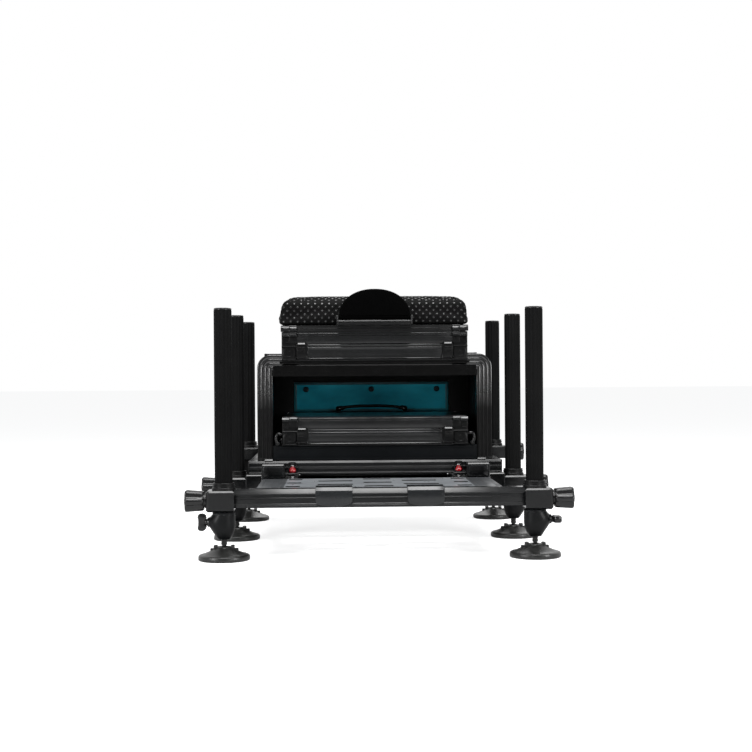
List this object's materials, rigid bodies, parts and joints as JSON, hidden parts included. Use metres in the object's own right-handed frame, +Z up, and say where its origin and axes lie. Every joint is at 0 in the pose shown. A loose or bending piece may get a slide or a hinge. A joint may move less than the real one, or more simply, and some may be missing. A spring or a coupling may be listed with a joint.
{
  "type": "fishing seat box",
  "caption": "A fishing seat box on clamped, height-adjustable tube legs, with a sliding slotted footplate, front drawers, an open bay with a rear flap and a hinged padded seat.",
  "frame": {"origin": "on the ground, under the middle of the outline of the whole seat box", "axes": "+Z up, the front with the footplate faces -Y, +X is the right-hand side seen from the front"},
  "size_m": [0.7826, 0.844, 0.562],
  "materials": {
    "anodised_tube": "black anodised, fluted",
    "black_alloy": "black powder coat",
    "satin_extrusion": "black anodised extrusion",
    "grey_plate": "dark grey brushed plate",
    "black_plastic": "moulded, satin",
    "gloss_plastic": "polished black",
    "foot_rubber": "dark olive grey",
    "red_plastic": "glossy red",
    "teal_sheet": "tinted translucent sheet",
    "quilted_fabric": "black woven cover with a diamond lattice",
    "foam": "black closed-cell foam"
  },
  "bodies": {
    "chassis": {"chassis_rails": "satin_extrusion", "chassis_leg_blocks": "black_alloy", "footplate_guides": "black_alloy", "front_hoop": "gloss_plastic", "rear_hoop": "gloss_plastic", "bay_liner": "black_plastic", "back_frame": "black_plastic", "base_tray": "black_plastic", "lower_tray": "black_plastic", "upper_tray": "black_plastic"},
    "footplate": {"footplate_beam": "satin_extrusion", "footplate_arms": "satin_extrusion", "footplate_plate": "grey_plate", "footplate_trims": "black_plastic", "front_leg_blocks": "black_alloy"},
    "seat": {"seat_frame": "black_plastic", "seat_cushion": "quilted_fabric"},
    "pole_grip": {"pole_grip": "foam"},
    "rear_flap": {"rear_flap": "teal_sheet", "flap_handle": "black_plastic"},
    "lower_drawer": {"lower_drawer": "black_plastic"},
    "upper_drawer": {"upper_drawer": "black_plastic"},
    "plunger_left": {"plunger_left": "red_plastic"},
    "plunger_right": {"plunger_right": "red_plastic"},
    "side_clip_left": {"side_clip_left": "black_plastic"},
    "side_clip_right": {"side_clip_right": "black_plastic"},
    "leg_front_left": {"leg_tube_front_left": "anodised_tube", "leg_end_front_left": "black_alloy"},
    "foot_front_left": {"foot_front_left": "foot_rubber"},
    "wing_knob_front_left": {"wing_knob_front_left": "black_plastic"},
    "clamp_knob_front_left": {"clamp_knob_front_left": "black_plastic"},
    "leg_front_right": {"leg_tube_front_right": "anodised_tube", "leg_end_front_right": "black_alloy"},
    "foot_front_right": {"foot_front_right": "foot_rubber"},
    "wing_knob_front_right": {"wing_knob_front_right": "black_plastic"},
    "clamp_knob_front_right": {"clamp_knob_front_right": "black_plastic"},
    "leg_middle_left": {"leg_tube_middle_left": "anodised_tube", "leg_end_middle_left": "black_alloy"},
    "foot_middle_left": {"foot_middle_left": "foot_rubber"},
    "wing_knob_middle_left": {"wing_knob_middle_left": "black_plastic"},
    "clamp_knob_middle_left": {"clamp_knob_middle_left": "black_plastic"},
    "leg_middle_right": {"leg_tube_middle_right": "anodised_tube", "leg_end_middle_right": "black_alloy"},
    "foot_middle_right": {"foot_middle_right": "foot_rubber"},
    "wing_knob_middle_right": {"wing_knob_middle_right": "black_plastic"},
    "clamp_knob_middle_right": {"clamp_knob_middle_right": "black_plastic"},
    "leg_rear_left": {"leg_tube_rear_left": "anodised_tube", "leg_end_rear_left": "black_alloy"},
    "foot_rear_left": {"foot_rear_left": "foot_rubber"},
    "wing_knob_rear_left": {"wing_knob_rear_left": "black_plastic"},
    "clamp_knob_rear_left": {"clamp_knob_rear_left": "black_plastic"},
    "leg_rear_right": {"leg_tube_rear_right": "anodised_tube", "leg_end_rear_right": "black_alloy"},
    "foot_rear_right": {"foot_rear_right": "foot_rubber"},
    "wing_knob_rear_right": {"wing_knob_rear_right": "black_plastic"},
    "clamp_knob_rear_right": {"clamp_knob_rear_right": "black_plastic"},
    "lower_catch_left": {"lower_catch_left": "black_plastic"},
    "lower_catch_right": {"lower_catch_right": "black_plastic"},
    "upper_catch_left": {"upper_catch_left": "black_plastic"},
    "upper_catch_right": {"upper_catch_right": "black_plastic"}
  },
  "joints": [
    {"name": "footplate_slide", "type": "slide", "parent": "chassis", "child": "footplate", "axis": [0, -1, 0], "range_m": [0, 0.12]},
    {"name": "leg_slide_front_left", "type": "slide", "parent": "footplate", "child": "leg_front_left", "axis": [0, 0, -1], "range_m": [0, 0.3]},
    {"name": "foot_tilt_front_left", "type": "hinge", "parent": "leg_front_left", "child": "foot_front_left", "pos_m": [-0.3135, -0.37, 0.017], "axis": [1, 0, 0], "range_deg": [-15, 15]},
    {"name": "wing_turn_front_left", "type": "hinge", "parent": "leg_front_left", "child": "wing_knob_front_left", "pos_m": [-0.3135, -0.37, 0.076], "axis": [-1, 0, 0], "range_deg": [0, 360]},
    {"name": "clamp_turn_front_left", "type": "hinge", "parent": "footplate", "child": "clamp_knob_front_left", "pos_m": [-0.3135, -0.37, 0.119], "axis": [-1, 0, 0], "range_deg": [0, 360]},
    {"name": "leg_slide_front_right", "type": "slide", "parent": "footplate", "child": "leg_front_right", "axis": [0, 0, -1], "range_m": [0, 0.3]},
    {"name": "foot_tilt_front_right", "type": "hinge", "parent": "leg_front_right", "child": "foot_front_right", "pos_m": [0.3135, -0.37, 0.017], "axis": [1, 0, 0], "range_deg": [-15, 15]},
    {"name": "wing_turn_front_right", "type": "hinge", "parent": "leg_front_right", "child": "wing_knob_front_right", "pos_m": [0.3135, -0.37, 0.076], "axis": [1, 0, 0], "range_deg": [0, 360]},
    {"name": "clamp_turn_front_right", "type": "hinge", "parent": "footplate", "child": "clamp_knob_front_right", "pos_m": [0.3135, -0.37, 0.119], "axis": [1, 0, 0], "range_deg": [0, 360]},
    {"name": "leg_slide_middle_left", "type": "slide", "parent": "chassis", "child": "leg_middle_left", "axis": [0, 0, -1], "range_m": [0, 0.3]},
    {"name": "foot_tilt_middle_left", "type": "hinge", "parent": "leg_middle_left", "child": "foot_middle_left", "pos_m": [-0.3135, -0.03, 0.017], "axis": [1, 0, 0], "range_deg": [-15, 15]},
    {"name": "wing_turn_middle_left", "type": "hinge", "parent": "leg_middle_left", "child": "wing_knob_middle_left", "pos_m": [-0.3135, -0.03, 0.076], "axis": [-1, 0, 0], "range_deg": [0, 360]},
    {"name": "clamp_turn_middle_left", "type": "hinge", "parent": "chassis", "child": "clamp_knob_middle_left", "pos_m": [-0.3135, -0.03, 0.119], "axis": [-1, 0, 0], "range_deg": [0, 360]},
    {"name": "leg_slide_middle_right", "type": "slide", "parent": "chassis", "child": "leg_middle_right", "axis": [0, 0, -1], "range_m": [0, 0.3]},
    {"name": "foot_tilt_middle_right", "type": "hinge", "parent": "leg_middle_right", "child": "foot_middle_right", "pos_m": [0.3135, -0.03, 0.017], "axis": [1, 0, 0], "range_deg": [-15, 15]},
    {"name": "wing_turn_middle_right", "type": "hinge", "parent": "leg_middle_right", "child": "wing_knob_middle_right", "pos_m": [0.3135, -0.03, 0.076], "axis": [1, 0, 0], "range_deg": [0, 360]},
    {"name": "clamp_turn_middle_right", "type": "hinge", "parent": "chassis", "child": "clamp_knob_middle_right", "pos_m": [0.3135, -0.03, 0.119], "axis": [1, 0, 0], "range_deg": [0, 360]},
    {"name": "leg_slide_rear_left", "type": "slide", "parent": "chassis", "child": "leg_rear_left", "axis": [0, 0, -1], "range_m": [-0.05, 0.3]},
    {"name": "foot_tilt_rear_left", "type": "hinge", "parent": "leg_rear_left", "child": "foot_rear_left", "pos_m": [-0.3135, 0.37, 0.017], "axis": [1, 0, 0], "range_deg": [-15, 15]},
    {"name": "wing_turn_rear_left", "type": "hinge", "parent": "leg_rear_left", "child": "wing_knob_rear_left", "pos_m": [-0.3135, 0.37, 0.076], "axis": [-1, 0, 0], "range_deg": [0, 360]},
    {"name": "clamp_turn_rear_left", "type": "hinge", "parent": "chassis", "child": "clamp_knob_rear_left", "pos_m": [-0.3135, 0.37, 0.17], "axis": [-1, 0, 0], "range_deg": [0, 360]},
    {"name": "leg_slide_rear_right", "type": "slide", "parent": "chassis", "child": "leg_rear_right", "axis": [0, 0, -1], "range_m": [-0.05, 0.3]},
    {"name": "foot_tilt_rear_right", "type": "hinge", "parent": "leg_rear_right", "child": "foot_rear_right", "pos_m": [0.3135, 0.37, 0.017], "axis": [1, 0, 0], "range_deg": [-15, 15]},
    {"name": "wing_turn_rear_right", "type": "hinge", "parent": "leg_rear_right", "child": "wing_knob_rear_right", "pos_m": [0.3135, 0.37, 0.076], "axis": [1, 0, 0], "range_deg": [0, 360]},
    {"name": "clamp_turn_rear_right", "type": "hinge", "parent": "chassis", "child": "clamp_knob_rear_right", "pos_m": [0.3135, 0.37, 0.17], "axis": [1, 0, 0], "range_deg": [0, 360]},
    {"name": "seat_hinge", "type": "hinge", "parent": "chassis", "child": "seat", "pos_m": [0, 0.3235, 0.467], "axis": [-1, 0, 0], "range_deg": [0, 95]},
    {"name": "grip_fold", "type": "hinge", "parent": "seat", "child": "pole_grip", "pos_m": [0, -0.066, 0.5], "axis": [1, 0, 0], "range_deg": [0, 90]},
    {"name": "flap_hinge", "type": "hinge", "parent": "chassis", "child": "rear_flap", "pos_m": [0, 0.2993, 0.352], "axis": [-1, 0, 0], "range_deg": [0, 85]},
    {"name": "lower_drawer_slide", "type": "slide", "parent": "chassis", "child": "lower_drawer", "axis": [0, -1, 0], "range_m": [0, 0.26]},
    {"name": "lower_catch_left_turn", "type": "hinge", "parent": "lower_drawer", "child": "lower_catch_left", "pos_m": [-0.163, -0.0608, 0.2183], "axis": [1, 0, 0], "range_deg": [0, 60]},
    {"name": "lower_catch_right_turn", "type": "hinge", "parent": "lower_drawer", "child": "lower_catch_right", "pos_m": [0.163, -0.0608, 0.2183], "axis": [1, 0, 0], "range_deg": [0, 60]},
    {"name": "upper_drawer_slide", "type": "slide", "parent": "chassis", "child": "upper_drawer", "axis": [0, -1, 0], "range_m": [0, 0.26]},
    {"name": "upper_catch_left_turn", "type": "hinge", "parent": "upper_drawer", "child": "upper_catch_left", "pos_m": [-0.163, -0.0608, 0.4093], "axis": [1, 0, 0], "range_deg": [0, 60]},
    {"name": "upper_catch_right_turn", "type": "hinge", "parent": "upper_drawer", "child": "upper_catch_right", "pos_m": [0.163, -0.0608, 0.4093], "axis": [1, 0, 0], "range_deg": [0, 60]},
    {"name": "plunger_lift_left", "type": "slide", "parent": "chassis", "child": "plunger_left", "axis": [0, 0, 1], "range_m": [0, 0.008], "stiffness_N_per_m": 1500, "springref_m": -0.003},
    {"name": "side_clip_turn_left", "type": "hinge", "parent": "chassis", "child": "side_clip_left", "pos_m": [-0.219, -0.055, 0.2155], "axis": [0, -1, 0], "range_deg": [0, 80]},
    {"name": "plunger_lift_right", "type": "slide", "parent": "chassis", "child": "plunger_right", "axis": [0, 0, 1], "range_m": [0, 0.008], "stiffness_N_per_m": 1500, "springref_m": -0.003},
    {"name": "side_clip_turn_right", "type": "hinge", "parent": "chassis", "child": "side_clip_right", "pos_m": [0.219, -0.055, 0.2155], "axis": [0, 1, 0], "range_deg": [0, 80]}
  ]
}
